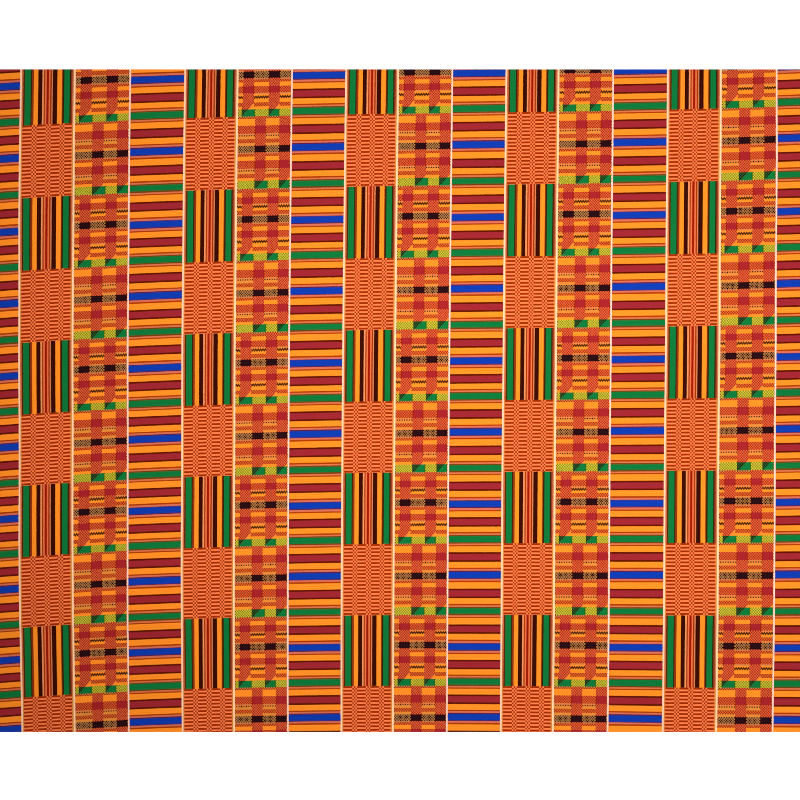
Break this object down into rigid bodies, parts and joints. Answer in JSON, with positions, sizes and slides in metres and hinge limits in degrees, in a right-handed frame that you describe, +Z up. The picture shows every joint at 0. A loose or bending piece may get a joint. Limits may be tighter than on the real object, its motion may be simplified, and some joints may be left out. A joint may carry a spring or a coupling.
{
  "type": "ankara fabric",
  "caption": "Cut length of wax-printed cotton in bright kente strips, lying flat with faint cross creases and soft ripples.",
  "frame": {"origin": "centre of the cloth's outline, on the surface that it lies on", "axes": "+X across the cloth and over the printed strips, +Y along the warp and the strips towards the picture's top, +Z up from the surface"},
  "size_m": [0.967, 0.74, 0.0066],
  "materials": {
    "printed_cotton": "matte plain-weave cotton, printed through in orange, maroon, green, blue, black and cream"
  },
  "bodies": {
    "root": {"cloth": "printed_cotton"}
  },
  "joints": []
}
